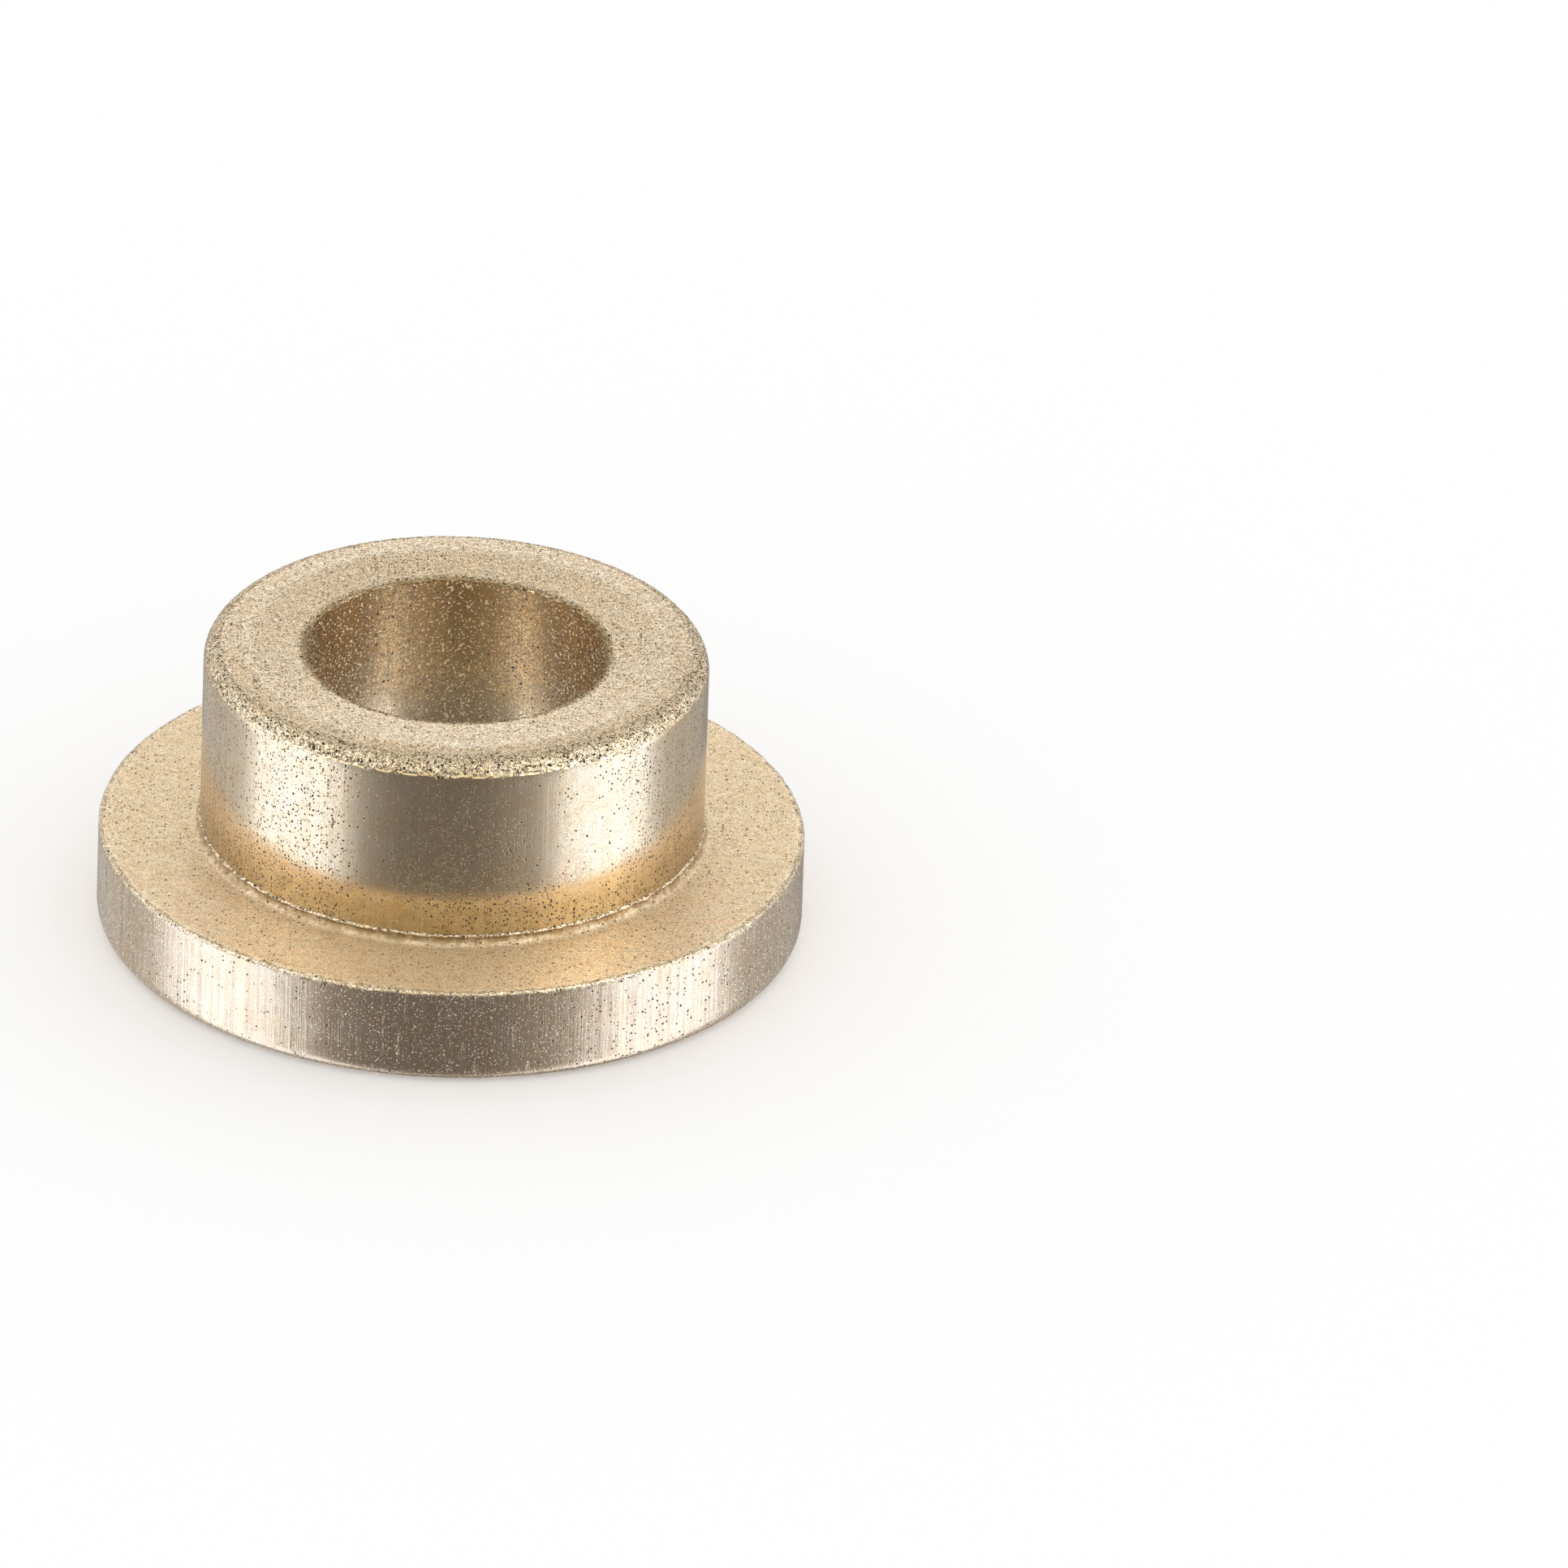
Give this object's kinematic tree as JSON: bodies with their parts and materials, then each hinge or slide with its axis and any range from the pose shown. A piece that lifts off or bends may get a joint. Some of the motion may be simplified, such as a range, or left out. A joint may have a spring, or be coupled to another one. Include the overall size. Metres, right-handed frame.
{
  "type": "flanged bushing",
  "caption": "Short plain sleeve bearing in pressed bronze with a round flange: the body presses into a housing, the flange takes thrust and a shaft runs in the bore.",
  "frame": {"origin": "centre of the flange's underside, on the bore's axis", "axes": "+Z along the bore from the flange to the body's nose end; X and Y are equal, because the part is round"},
  "size_m": [0.014, 0.014, 0.006],
  "materials": {
    "sintered_bronze": "pressed and sized bronze powder: matte grained end faces, burnished sides with fine upright draw lines and open pores"
  },
  "bodies": {
    "root": {"flanged_bushing": "sintered_bronze"}
  },
  "joints": []
}
